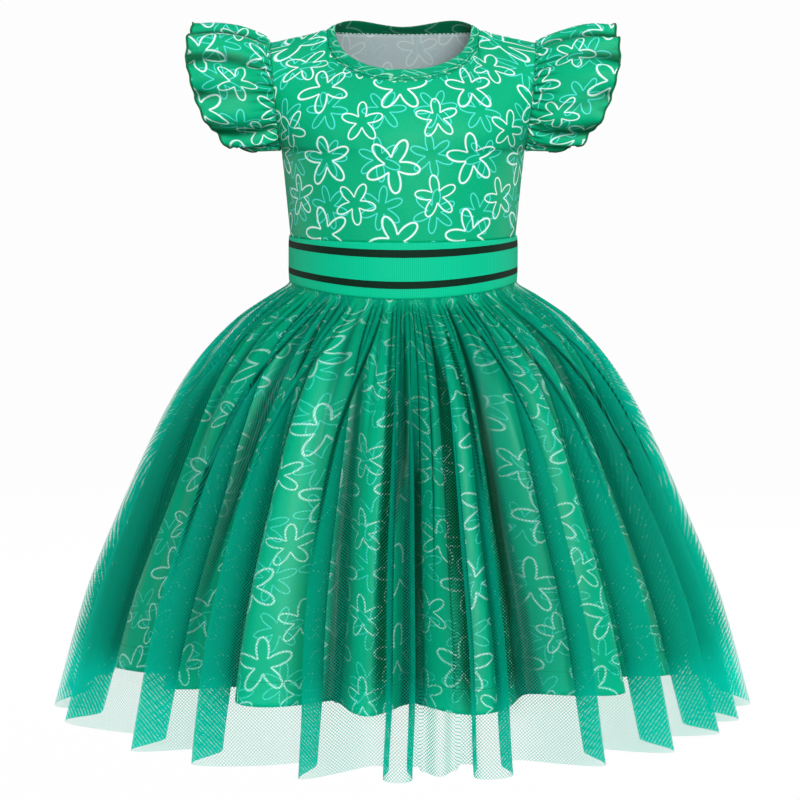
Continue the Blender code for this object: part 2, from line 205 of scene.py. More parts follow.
def bodice_arc(edge, middle, sweep):
    """A row from one side edge round to the other, bulging to the middle point."""
    sweep = math.radians(sweep)
    columns = NECK_COLUMNS + 2 * SHOULDER_COLUMNS
    row = []
    for i in range(columns + 1):
        angle = sweep * (2 * i / columns - 1)
        depth = (1 - math.cos(angle)) / (1 - math.cos(sweep))
        across = Vector((edge.x * math.sin(angle) / math.sin(sweep), middle.y, middle.z))
        row.append(across + Vector((0, edge.y - middle.y, edge.z - middle.z)) * depth)
    return row


def bodice_guides(facing):
    """The rows that the front cut, facing -1, or the back cut, facing 1, is drawn smoothly through."""
    column = "front" if facing < 0 else "back"
    guides = []
    for row in SIDE_ROWS:
        edge = Vector((row["half_width"], 0, row["z"]))
        guides.append(bodice_arc(edge, Vector((0, facing * row[column], row["z"])), 90))
    top = top_edge(facing)
    centre = len(top) // 2
    for row in ARMHOLE_ROWS:
        edge = armhole_point(math.radians(row["angle"]), facing)
        arc = bodice_arc(edge, Vector((0, facing * row[column], row["centre_z"])), row["sweep"])
        flat = bodice_arc(SHOULDER_TIP, top[centre], row["sweep"])
        guides.append([a + (b - c) * row["top_share"] for a, b, c in zip(arc, top, flat)])
    crest = [point + Vector((0, facing * SHOULDER_CREST, -0.6)) for point in top]
    for i in range(SHOULDER_COLUMNS + 1, len(top) - SHOULDER_COLUMNS - 1):
        crest[i] = top[i].lerp(guides[-1][i], 0.3)
    guides += [crest, top]
    return guides if facing < 0 else [row[::-1] for row in guides]


def bodice_cut(name, facing):
    """One bodice panel, with soft drag lines towards the armholes and the waist."""
    guides = bodice_guides(facing)
    knots = [0.0]
    for low, high in zip(guides, guides[1:]):
        steps = [(b - a).length for a, b in zip(low, high)]
        knots.append(knots[-1] + sum(steps) / len(steps))
    knots = [knot / knots[-1] for knot in knots]

    def place(across, up):
        point = smooth_between([smooth_between(row, across) for row in guides], up, knots)
        off_seams = 0 < across < 1 and 0 < up < 1
        slack = math.sin(math.pi * across) ** 0.5 * math.sin(math.pi * up) if off_seams else 0
        pull = noise.noise(Vector((point.x * 0.035, up * 3.5, facing * 7.0)))
        pull += 0.6 * noise.noise(Vector((point.x * 0.07 + point.z * 0.04, point.z * 0.02, facing * 3.0)))
        outward = Vector((point.x * 0.6, point.y, 0)).normalized()
        return point + outward * (pull * slack * BODICE_CREASE)

    return cloth(name, BODICE_COLUMNS, BODICE_ROWS, place, print_shift=0.3 * facing)


def linear(code):
    """An sRGB hex colour as the linear values that a shader takes."""
    parts = [int(code[i : i + 2], 16) / 255 for i in (1, 3, 5)]
    return tuple(p / 12.92 if p <= 0.04045 else ((p + 0.055) / 1.055) ** 2.4 for p in parts) + (1.0,)


def node(tree, kind, settings=None, inputs=None):
    """Adds a node with its settings, and its inputs by name or number: a socket or node is linked,
    and anything else is the input's own value."""
    made = tree.nodes.new("ShaderNode" + kind)
    for name, value in (settings or {}).items():
        setattr(made, name, value)
    for key, value in (inputs or {}).items():
        if isinstance(value, bpy.types.Node):
            value = value.outputs[0]
        if isinstance(value, bpy.types.NodeSocket):
            tree.links.new(value, made.inputs[key])
        else:
            made.inputs[key].default_value = value
    return made


def new_cloth_finish(name, roughness, gloss, sheen):
    """A material with the even parts of a cloth's finish set on its shader."""
    made = bpy.data.materials.new(name)
    made.use_nodes = True
    shader = made.node_tree.nodes["Principled BSDF"]
    shader.inputs["Metallic"].default_value = 0.0
    shader.inputs["IOR"].default_value = 1.5
    shader.inputs["Specular IOR Level"].default_value = gloss
    shader.inputs["Roughness"].default_value = roughness
    shader.inputs["Sheen Weight"].default_value = sheen
    shader.inputs["Sheen Roughness"].default_value = 0.4
    return made, made.node_tree, shader


# The print: every flower is one closed outline of five or six even petals. Each layer has a loose
# grid of them, turned at random.
FLOWERS = [
    {"ink": "aqua", "spacing": 43.0, "shift": 21.0, "reach": 18.0, "petals": 6, "line": 0.9},
    {"ink": "white", "spacing": 62.0, "shift": 0.0, "reach": 22.5, "petals": 5, "line": 1.5},
    {"ink": "white", "spacing": 62.0, "shift": 31.0, "reach": 17.5, "petals": 5, "line": 1.1},
]
PETAL_DEPTH = 0.34
LAYOUT_SCATTER = 0.16
LINE_SOFTNESS = 0.25
FULL_TURN = 2 * math.pi


def flower_lines(tree, cut, layer):
    """1 on the outlines of one layer's flowers and 0 off them."""
    reach, half_line = layer["reach"] * MM, layer["line"] * MM / 2
    shift = layer["shift"] * MM
    moved = node(tree, "VectorMath", {"operation": "ADD"}, {0: cut, 1: (shift, shift, 0)})
    cell = node(
        tree,
        "TexVoronoi",
        {"voronoi_dimensions": "2D"},
        {"Vector": moved, "Scale": 1 / (layer["spacing"] * MM), "Randomness": LAYOUT_SCATTER},
    )
    arm = node(tree, "VectorMath", {"operation": "SUBTRACT"}, {0: moved, 1: cell.outputs["Position"]})
    xyz = node(tree, "SeparateXYZ", None, {0: arm})
    far = node(tree, "VectorMath", {"operation": "LENGTH"}, {0: arm}).outputs["Value"]
    bearing = node(tree, "Math", {"operation": "ARCTAN2"}, {0: xyz.outputs[1], 1: xyz.outputs[0]})
    chance = node(tree, "SeparateXYZ", None, {0: cell.outputs["Color"]})
    start = node(tree, "Math", {"operation": "MULTIPLY"}, {0: chance, 1: FULL_TURN})
    petals = float(layer["petals"])
    turn = node(tree, "Math", {"operation": "MULTIPLY_ADD"}, {0: bearing, 1: petals, 2: start})
    wave = node(tree, "Math", {"operation": "COSINE"}, {0: turn})
    slope = node(tree, "Math", {"operation": "SINE"}, {0: turn})
    tip, waist = reach * PETAL_DEPTH, reach * (1 - PETAL_DEPTH)
    edge = node(tree, "Math", {"operation": "MULTIPLY_ADD"}, {0: wave, 1: tip, 2: waist})
    gap = node(tree, "Math", {"operation": "SUBTRACT"}, {0: far, 1: edge})
    off = node(tree, "Math", {"operation": "ABSOLUTE"}, {0: gap})
    swing = node(tree, "Math", {"operation": "MULTIPLY"}, {0: slope, 1: tip * petals})
    steep = node(tree, "Math", {"operation": "DIVIDE"}, {0: swing, 1: edge})
    squared = node(tree, "Math", {"operation": "MULTIPLY_ADD"}, {0: steep, 1: steep, 2: 1.0})
    lean = node(tree, "Math", {"operation": "SQRT"}, {0: squared})
    true = node(tree, "Math", {"operation": "DIVIDE"}, {0: off, 1: lean})
    soft = LINE_SOFTNESS * MM
    return node(tree, "MapRange", None, {0: true, 1: half_line + soft, 2: half_line - soft}).outputs[0]


def printed(tree, ground, inks):
    """The ground colour with the flower print over it, in the inks for white and aqua."""
    cut = node(tree, "UVMap", {"uv_map": "cut"})
    colour = ground
    for layer in FLOWERS:
        lines = flower_lines(tree, cut, layer)
        colour = node(
            tree, "Mix", {"data_type": "RGBA"}, {"Factor": lines, 6: colour, 7: linear(inks[layer["ink"]])}
        ).outputs[2]
    return colour


def fine_grain(tree, shader, across, along, strength, distance):
    """Bump of a knit or weave: a noise stretched along the threads, by its threads for each millimetre."""
    cut = node(tree, "UVMap", {"uv_map": "cut"})
    scaled = node(tree, "VectorMath", {"operation": "MULTIPLY"}, {0: cut, 1: (across / MM, along / MM, 1.0)})
    grain = node(tree, "TexNoise", {"noise_dimensions": "2D"}, {"Vector": scaled, "Scale": 1.0, "Detail": 2.0})
    bump = node(tree, "Bump", None, {"Strength": strength, "Distance": distance * MM, "Height": grain})
    tree.links.new(bump.outputs[0], shader.inputs["Normal"])
    return grain


def ground_colour(tree, colour, deeper, grain):
    """The dyed ground, a little uneven from thread to thread."""
    return node(
        tree, "Mix", {"data_type": "RGBA"}, {"Factor": grain.outputs[0], 6: linear(deeper), 7: linear(colour)}
    ).outputs[2]


def mark_hollows(piece, columns, spans):
    """Stores as 'hollow' how deep each point lies between its neighbours on both sides, from 0 to 1. A span is how
    many columns away those are, and the depth in millimetres that counts as 1. The finishes paint shade by it."""
    mesh = piece.data
    marks = mesh.attributes.new("hollow", "FLOAT", "POINT")
    spots = [vert.co.copy() for vert in mesh.vertices]
    normals = [vert.normal.copy() for vert in mesh.vertices]
    for i, (spot, normal) in enumerate(zip(spots, normals)):
        column = i % (columns + 1)
        deepest = 0.0
        for reach, full in spans:
            before, after = spots[i - min(reach, column)], spots[i + min(reach, columns - column)]
            deepest = max(deepest, ((before + after) / 2 - spot).dot(normal) / (full * MM))
        marks.data[i].value = min(1.0, deepest)


def shaded(tree, colour, shade):
    """The colour with painted shade: darker down in the folds, where little light comes."""
    hollow = node(tree, "Attribute", {"attribute_name": "hollow"})
    return node(
        tree, "Mix", {"data_type": "RGBA", "blend_type": "MULTIPLY"},
        {"Factor": hollow.outputs["Fac"], 6: colour, 7: linear(shade)},
    ).outputs[2]


def printed_cloth(name, feel, grain, ground, inks, shade=None):
    """A printed cloth's finish: its roughness, gloss and sheen, its grain, its ground in two tones, its inks, and
    the painted shade that its folds multiply those by, if any."""
    made, tree, shader = new_cloth_finish(name, **feel)
    threads = fine_grain(tree, shader, **grain)
    colour = printed(tree, ground_colour(tree, *ground, threads), inks)
    if shade:
        colour = shaded(tree, colour, shade)
    tree.links.new(colour, shader.inputs["Base Color"])
    return made


# Satin-faced polyester knit, sublimation printed: smooth, with a soft gloss, and painted shade down in the
# sleeves' folds
KNIT_FEEL = {"roughness": 0.5, "gloss": 0.12, "sheen": 0.0}
KNIT_GRAIN = {"across": 0.5, "along": 1.2, "strength": 0.25, "distance": 0.3}
printed_knit = printed_cloth(
    "printed polyester satin knit", KNIT_FEEL, KNIT_GRAIN,
    ("#00ba86", "#00a06e"), {"white": "#dcfcf6", "aqua": "#58e4de"}, "#6f8f84",
)

# The knit's unprinted face: greyish white, with a ghost of the print showing through
knit_reverse = printed_cloth(
    "reverse of the printed knit", {"roughness": 0.8, "gloss": 0.15, "sheen": 0.05}, KNIT_GRAIN,
    ("#a9b8b9", "#9dadaf"), {"white": "#b9c6c6", "aqua": "#a4bcbc"},
)

for name, facing in (("bodice_front_knit", -1), ("bodice_back_knit", 1)):
    panel = bodice_cut(name, facing)
    thicken(panel, BODICE_WALL, [printed_knit, knit_reverse])
    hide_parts("bodice_front" if facing < 0 else "bodice_back")


# Neck binding. A bias strip of the printed knit is folded over the neck edge and held by twin rows
# of stitches. It stands up a little behind, where its inner face shows.

BINDING_INNER_HALF_WIDTH = 56.0
BINDING_INNER_FRONT = 56.0
BINDING_INNER_BACK = 27.0
BINDING_FRONT_Z = -30.0
BINDING_SIDE_Z = 5.0
BINDING_BACK_Z = 3.3
BINDING_NAPE_RISE = 4.2
BINDING_HALF_WALL = 1.15
BINDING_OVERLAP = 0.6
BINDING_COLUMNS = 260
BINDING_TURNS = 60
# The two stitch rows press grooves into the outer face, this far from its seam
GROOVE_PLACES = [1.6, 4.4]
GROOVE_DEPTH = 0.55
GROOVE_HALF_WIDTH = 0.75


def binding_frame(angle):
    """The middle of the strip's section, its half height, the way up it and the way out of it."""
    x, forward = math.sin(angle), math.cos(angle)
    foot = neck_point(angle)
    if forward > 0:
        share = rounded(x)
        reach, z = BINDING_INNER_FRONT, BINDING_FRONT_Z * share + BINDING_SIDE_Z * (1 - share)
    else:
        side = BINDING_BACK_Z + (BINDING_SIDE_Z - BINDING_BACK_Z) * abs(x)
        reach, z = BINDING_INNER_BACK, side + BINDING_NAPE_RISE * math.sin(2 * angle) ** 2
    edge = Vector((BINDING_INNER_HALF_WIDTH * x, NECK_CENTRE_Y - reach * forward, z))
    rise = (edge - foot).normalized()
    out = Vector((forward, x, 0)).cross(rise).normalized()
    foot = foot - rise * BINDING_OVERLAP
    return (foot + edge) / 2, (edge - foot).length / 2, rise, out


def binding_point(across, up):
    """A point on the strip's rounded section, up being the share of the way round it."""
    angle = FULL_TURN * across
    middle, half, rise, out = binding_frame(angle)
    turn = -FULL_TURN * up
    flat, bulge = math.cos(turn), math.sin(turn)
    along = math.copysign(abs(flat) ** 0.6, flat) * half
    puff = math.copysign(abs(bulge) ** 0.7, bulge) * BINDING_HALF_WALL
    if bulge > 0:
        for place in GROOVE_PLACES:
            puff -= GROOVE_DEPTH * math.exp(-(((half + along - place) / GROOVE_HALF_WIDTH) ** 2))
    return middle + rise * along + out * puff


def stitch_row(name, line, outward, stitch, gap, radius, finish):
    """Short stitches along a line of points, in millimetres, each a six-sided bit of thread that
    lies on the cloth, whose way out at a point is outward(number of the point)."""
    rows = bmesh.new()
    travelled, reached = 0.0, 0.0
    for i in range(1, len(line)):
        step = line[i] - line[i - 1]
        while step.length > 0 and reached <= travelled + step.length:
            middle = line[i - 1] + step * ((reached - travelled) / step.length)
            lie = step.to_track_quat("Z", "X").to_matrix().to_4x4()
            lift = outward(i).normalized() * radius * 0.3
            made = bmesh.ops.create_cone(
                rows, cap_ends=True, segments=6, radius1=radius * MM, radius2=radius * MM, depth=stitch * MM
            )
            bmesh.ops.transform(rows, matrix=lie, verts=made["verts"])
            bmesh.ops.translate(rows, verts=made["verts"], vec=(middle + lift) * MM)
            reached += stitch + gap
        travelled += step.length
    row = finished(name, rows)
    row.data.materials.append(finish)
    return row


binding = cloth("neck_binding_strip", BINDING_COLUMNS, BINDING_TURNS, binding_point, print_shift=0.137)
shape = bmesh.new()
shape.from_mesh(binding.data)
bmesh.ops.remove_doubles(shape, verts=shape.verts, dist=0.00001)
bmesh.ops.recalc_face_normals(shape, faces=shape.faces)
shape.to_mesh(binding.data)
shape.free()
# Painted shade: the strip's face towards the neck is marked as a hollow, so its finish paints it darker
inside = binding.data.attributes.new("hollow", "FLOAT", "POINT")
for vert in binding.data.vertices:
    outwards = Vector((vert.co.x, vert.co.y - NECK_CENTRE_Y * MM, 0)).normalized()
    inside.data[vert.index].value = min(1.0, max(0.0, -2 * vert.normal.dot(outwards)))

binding_knit = printed_cloth(
    "folded knit binding", KNIT_FEEL, KNIT_GRAIN,
    ("#00ae7e", "#009668"), {"white": "#8cd8bc", "aqua": "#38c0a8"}, "#8a9a94",
)
binding.data.materials.append(binding_knit)
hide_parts("neck_binding")


TWISTS_PER_METRE = 3000.0


def spun_thread(name, colour, deeper):
    """Spun polyester sewing thread: matt, and a little uneven along its twist."""
    made, tree, shader = new_cloth_finish(name, roughness=0.75, gloss=0.1, sheen=0.0)
    spot = node(tree, "TexCoord").outputs["Object"]
    twist = node(tree, "TexNoise", None, {"Vector": spot, "Scale": TWISTS_PER_METRE})
    tree.links.new(ground_colour(tree, colour, deeper, twist), shader.inputs["Base Color"])
    return made


# The seams' thread is dyed darker than the cloth, and sunk into its own grooves
sewing_thread = spun_thread("dark green sewing thread", "#007a50", "#005034")
pale_thread = spun_thread("pale looper thread", "#c8e6dc", "#a8ccc0")

# Each row: how far up from the seam, how far out of the strip's middle, and its thread. The last
# one is the looper's, on the inner face.
GROOVE_BED = BINDING_HALF_WALL - GROOVE_DEPTH
NECK_STITCH_LENGTH = 2.2
NECK_STITCHES = [
    {"up": GROOVE_PLACES[0], "out": GROOVE_BED, "gap": 0.5, "radius": 0.24, "thread": sewing_thread},
    {"up": GROOVE_PLACES[1], "out": GROOVE_BED, "gap": 0.5, "radius": 0.24, "thread": sewing_thread},
    {"up": 1.6, "out": -BINDING_HALF_WALL, "gap": 1.6, "radius": 0.4, "thread": pale_thread},
]
for number, stitches in enumerate(NECK_STITCHES):
    line, outs = [], []
    for i in range(BINDING_COLUMNS + 1):
        middle, half, rise, out = binding_frame(FULL_TURN * i / BINDING_COLUMNS)
        line.append(middle + rise * (stitches["up"] - half) + out * stitches["out"])
        outs.append(out * math.copysign(1, stitches["out"]))
    name = "neck_stitches_" + str(number + 1)
    row = stitch_row(
        name, line, outs.__getitem__, NECK_STITCH_LENGTH, stitches["gap"], stitches["radius"],
        stitches["thread"],
    )


# Waistband. A flat strip of fine green rib knit runs round the waist in two cuts, joined at the
# sides, with two dark green stripes knitted in.

BAND_PROUD = 1.0
BAND_SIDE_BOTTOM_Z = -206.0
BAND_FRONT_DIP = 8.0
BAND_WALL = 1.8
BAND_COLUMNS = 120
BAND_ROWS = 24
BAND_BULGE = 0.7
# Where the stripes lie, in millimetres down from the band's top edge at the middle of the front
BAND_STRIPES = [(6.0, 12.4), (31.6, 37.6)]
BAND_SIDE_SHIFT = 2.5
BAND_SIDE_STRETCH = 1.15


def ring_point(half_width, half_depth, angle, z, out=0.0):
    """A point on an oval ring, by the angle from the middle of the front, moved straight out from it."""
    x, forward = math.sin(angle), math.cos(angle)
    normal = Vector((x * half_depth, -forward * half_width, 0)).normalized()
    return Vector((half_width * x, -half_depth * forward, z)) + normal * out


def dip(angle):
    """How much lower the waist seam and the skirts hang at the front and back than at the sides."""
    return -BAND_FRONT_DIP * math.cos(angle) ** 2


def band_cut(name, start):
    """Half the band, its edges turned in a little where the seams pull."""

    def place(across, up):
        angle = start + math.pi * across
        low = BAND_SIDE_BOTTOM_Z + dip(angle)
        z = low + (WAIST_TOP_Z - low) * up
        out = BAND_PROUD + BAND_BULGE * (1 - (2 * up - 1) ** 4)
        out += 0.35 * noise.noise(Vector((angle * 5, up * 1.2, start)))
        return ring_point(WAIST_HALF_WIDTH, WAIST_HALF_DEPTH, angle, z, out)

    band = cloth(name, BAND_COLUMNS, BAND_ROWS, place)
    uv = band.data.uv_layers["cut"].data
    for loop in band.data.loops:
        point = band.data.vertices[loop.vertex_index].co / MM
        side = (point.x / WAIST_HALF_WIDTH) ** 2
        down = (WAIST_TOP_Z - point.z) * (1 + (BAND_SIDE_STRETCH - 1) * side) + BAND_SIDE_SHIFT * side
        uv[loop.index].uv.y = -down * MM
    return band


# Rib knit of polyester and elastane: matt, with upright ribs about 1.6 mm apart
rib_knit, tree, shader = new_cloth_finish("striped rib knit", 0.65, 0.1, 0.0)
RIB_SPACING = 1.6
cut = node(tree, "UVMap", {"uv_map": "cut"})
xyz = node(tree, "SeparateXYZ", None, {0: cut})
rib_rate = FULL_TURN / (RIB_SPACING * MM)
rib_angle = node(tree, "Math", {"operation": "MULTIPLY"}, {0: xyz.outputs[0], 1: rib_rate})
rib = node(tree, "Math", {"operation": "SINE"}, {0: rib_angle})
rib_share = node(tree, "Math", {"operation": "MULTIPLY_ADD"}, {0: rib, 1: 0.5, 2: 0.5})
bump = node(tree, "Bump", None, {"Strength": 0.35, "Distance": 0.2 * MM, "Height": rib_share})
tree.links.new(bump.outputs[0], shader.inputs["Normal"])
colour = ground_colour(tree, "#00c999", "#00b989", rib_share)
for top, bottom in BAND_STRIPES:
    middle, half = -(top + bottom) / 2 * MM, (bottom - top) / 2 * MM
    stripe = node(tree, "Math", {"operation": "COMPARE"}, {0: xyz.outputs[1], 1: middle, 2: half})
    colour = node(
        tree, "Mix", {"data_type": "RGBA"}, {"Factor": stripe, 6: colour, 7: linear("#08281a")}
    ).outputs[2]
tree.links.new(colour, shader.inputs["Base Color"])

for name, start in (("waistband_front", -math.pi / 2), ("waistband_back", math.pi / 2)):
    band = band_cut(name + "_rib", start)
    thicken(band, BAND_WALL, [rib_knit])
    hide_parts(name)


# Flutter sleeves. Each is a short ruffle of the printed knit, gathered into the armhole from under
# the arm in front over the shoulder to under it behind, its free edge rolled by a narrow dark green
# overlock that makes it curl.

# By the angle round the armhole from the shoulder: how far the sleeve stands out, and its flare
SLEEVE_ANGLES = [0, 60, 90, 120, 150, 168]
SLEEVE_OUT = [63.0, 69.0, 63.0, 51.0, 35.0, 20.0]
SLEEVE_FLARE = [12.0, 19.0, 21.0, 12.0, 3.0, 1.0]
SLEEVE_END_ANGLE = 168.0
SLEEVE_ROOT_GAP = 0.1
# From the armhole seam to the free edge, in even steps of cloth
SLEEVE_OUT_SHARES = [0.0, 0.08, 0.34, 0.66, 1.0]
SLEEVE_FLARE_SHARES = [0.0, 0.28, 0.8, 1.05, 0.95]
SLEEVE_WAVE_DEPTHS = [0.0, 1.6, 2.4, 3.2, 4.2]
SLEEVE_WAVES = 11
SLEEVE_GATHERS = 44
GATHER_DEPTH = 5.2
# The ruffle lies smooth over this much of its two ends, under the arm
CALM_ANGLE = 36.0
RIPPLE_DEPTH = 2.6
CURLS = 27
CURL_DEPTH = 0.8
SLEEVE_COLUMNS = 440
SLEEVE_ROWS = 44
SLEEVE_WALL = 0.8
SLEEVE_HOLLOWS = [(5, 1.2), (20, 4.0)]


def by_angle(values, turn):
    """The value at an angle round the armhole, along straight lines between the listed ones."""
    for i in range(1, len(SLEEVE_ANGLES)):
        if turn <= SLEEVE_ANGLES[i]:
            share = (turn - SLEEVE_ANGLES[i - 1]) / (SLEEVE_ANGLES[i] - SLEEVE_ANGLES[i - 1])
            return values[i - 1] + (values[i] - values[i - 1]) * share
    return values[-1]


def sleeve_point(across, down, side):
    """A point on the ruffle, across from the front end to the back end and down from the seam."""
    angle = math.radians(SLEEVE_END_ANGLE) * (2 * across - 1)
    turn = abs(math.degrees(angle))
    root = armhole_point(abs(angle), -1 if angle < 0 else 1)
    away = Vector((0, math.sin(angle), math.cos(angle)))
    out = by_angle(SLEEVE_OUT, turn) * smooth_between(SLEEVE_OUT_SHARES, down)
    flare = by_angle(SLEEVE_FLARE, turn) * smooth_between(SLEEVE_FLARE_SHARES, down)
    drift = 0.35 * noise.noise(Vector((across * 5, side * 3.0, 0.5)))
    wave = smooth_between(SLEEVE_WAVE_DEPTHS, down) * math.sin(FULL_TURN * (SLEEVE_WAVES * across + drift))
    calm = min(1.0, (SLEEVE_END_ANGLE - turn) / CALM_ANGLE)
    near = max(0.0, 1 - down / 0.55) * min(1.0, down / 0.04)
    pucker = abs(math.sin(math.pi * (SLEEVE_GATHERS * across + drift)))
    chance = 0.7 + 0.8 * noise.noise(Vector((across * 37, side * 5.0, down)))
    gather = GATHER_DEPTH * near * chance * (pucker**0.7 - 0.6)
    edge = max(0.0, (down - 0.82) / 0.18) ** 1.5
    curl = CURL_DEPTH * edge * math.sin(FULL_TURN * (CURLS * across + drift))
    ripple = RIPPLE_DEPTH * noise.noise(Vector((across * 26, down * 1.2, side * 2.0)))
    ripple *= math.sin(math.pi * min(1.0, 1.15 * down))
    lift = flare + gather + calm * (wave + curl + ripple)
    point = root + Vector((SLEEVE_ROOT_GAP + out + 0.5 * curl, 0, 0)) + away * lift
    return Vector((side * point.x, point.y, point.z))


# Three-thread overlock: matt thread wrapped slantwise round the edge, one turn each 1.5 mm
overlock_thread, tree, shader = new_cloth_finish("overlock thread", 0.7, 0.15, 0.05)
THREAD_TURN = 1.5
cut = node(tree, "UVMap", {"uv_map": "cut"})
xyz = node(tree, "SeparateXYZ", None, {0: cut})
slant = node(tree, "Math", {"operation": "ADD"}, {0: xyz.outputs[0], 1: xyz.outputs[1]})
wrap = node(tree, "Math", {"operation": "MULTIPLY"}, {0: slant, 1: FULL_TURN / (THREAD_TURN * MM)})
turns = node(tree, "Math", {"operation": "SINE"}, {0: wrap})
share = node(tree, "Math", {"operation": "MULTIPLY_ADD"}, {0: turns, 1: 0.5, 2: 0.5})
bump = node(tree, "Bump", None, {"Strength": 0.8, "Distance": 0.4 * MM, "Height": share})
tree.links.new(bump.outputs[0], shader.inputs["Normal"])
tree.links.new(ground_colour(tree, "#0a8a56", "#04603a", share), shader.inputs["Base Color"])

OVERLOCK_RADIUS = 1.1
OVERLOCK_TURNS = 8


def sleeve_pieces(name, side):
    """The ruffle and the overlock along its free edge."""

    def place(across, up):
        return sleeve_point(across if side > 0 else 1 - across, 1 - up, side)

    def edge_place(across, up):
        along = across if side > 0 else 1 - across
        rim = sleeve_point(along, 1.0, side)
        inner = sleeve_point(along, 0.97, side)
        before = sleeve_point(max(along - 0.001, 0.0), 1.0, side)
        after = sleeve_point(min(along + 0.001, 1.0), 1.0, side)
        out = (rim - inner).normalized()
        across_edge = (after - before).cross(out).normalized()
        turn = FULL_TURN * up
        return rim + (out * math.cos(turn) * 0.8 + across_edge * math.sin(turn) * side) * OVERLOCK_RADIUS

    ruffle = cloth(name + "_ruffle", SLEEVE_COLUMNS, SLEEVE_ROWS, place, "gathered", 0.9 + 0.23 * side)
    mark_hollows(ruffle, SLEEVE_COLUMNS, SLEEVE_HOLLOWS)
    thicken(ruffle, SLEEVE_WALL, [printed_knit, knit_reverse])
    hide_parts(name)
    edging = cloth(name + "_overlock", 2 * SLEEVE_COLUMNS, OVERLOCK_TURNS, edge_place)
    edging.data.materials.append(overlock_thread)


sleeve_pieces("sleeve_left", 1)
sleeve_pieces("sleeve_right", -1)


# Underskirt. Printed polyester satin, a front and a back panel cut flared, gathered into the waist
# seam and joined at the sides. Its hem is turned up and topstitched.

SATIN_TOP_Z = -206.0
# From the waist seam down, by height: the crests' half width and half depth, and the pleats' share
SATIN_SHAPE = [
    {"z": SATIN_TOP_Z, "width": 92.8, "depth": 77.3, "pleat": 0.0, "lean": 0.0},
    {"z": -211.0, "width": 93.6, "depth": 78.1, "pleat": 0.0, "lean": 0.0},
    {"z": -238.0, "width": 128.0, "depth": 111.0, "pleat": 0.25, "lean": 0.3},
    {"z": -268.0, "width": 151.0, "depth": 132.0, "pleat": 0.45, "lean": 0.6},
    {"z": -310.0, "width": 174.0, "depth": 152.0, "pleat": 0.65, "lean": 0.9},
    {"z": -375.0, "width": 200.0, "depth": 174.0, "pleat": 0.85, "lean": 1.0},
    {"z": -460.0, "width": 232.0, "depth": 201.0, "pleat": 0.95, "lean": 1.0},
    {"z": -518.0, "width": 248.0, "depth": 215.0, "pleat": 1.0, "lean": 1.0},
]
SATIN_MEAN_DEPTH = 16.0
# Pleats from the wearer's right to left on the front, and left to right on the back: width in
# degrees, depth, lean and pinch
SATIN_PLEATS = {
    "front": [
        (15, 11, 0.0, 0.0), (22, 17, -0.35, 0.0), (16, 16, -0.35, 0.0), (23, 18, -0.2, 0.0), (16, 15, 0.0, 0.0),
        (25, 18, 0.0, 0.0), (23, 17, 0.25, 0.0), (17, 17, 0.35, 0.0), (23, 12, 0.0, 0.0),
    ],
    "back": [
        (19, 12, 0.0, 0.0), (18, 16, -0.3, 0.0), (24, 18, -0.25, 0.0), (17, 15, -0.1, 0.0), (22, 17, 0.0, 0.0),
        (19, 16, 0.1, 0.0), (24, 18, 0.25, 0.0), (18, 16, 0.3, 0.0), (19, 12, 0.0, 0.0),
    ],
}
# Gathers are fine and end soon, and tucks are narrow hollows that run further down. trough is how much
# further in than a plain wave the folds between the pleats fall.
SATIN_FOLDS = {
    "gathers": 40, "gather_depth": 2.2, "trough": 0.8,
    "tucks": 17, "tuck_depth": 16.0, "tuck_length": 360.0,
}
SATIN_HOLLOWS = [(6, 3.5), (17, 26.0)]
SATIN_WALL = 0.7
GATHER_LENGTH = 115.0
# How far the folds stray sideways as they fall, in radians
WANDER = 0.035
# How much higher the hem hangs at the back of a deep pleat than on its crest
HEM_LIFT = 8.0
SATIN_COLUMNS = 330
SATIN_ROWS = 104
# How far up the cloth the hem's row of stitches lies, 19 mm above the edge
SATIN_STITCH_UP = 0.053


def shape_at(table, z):
    """The skirt's width, depth, pleat and lean at a height, curving smoothly between the listed rows."""
    knots = [-row["z"] for row in table]
    parts = ("width", "depth", "pleat", "lean")
    return {part: smooth_between([row[part] for row in table], -z, knots) for part in parts}


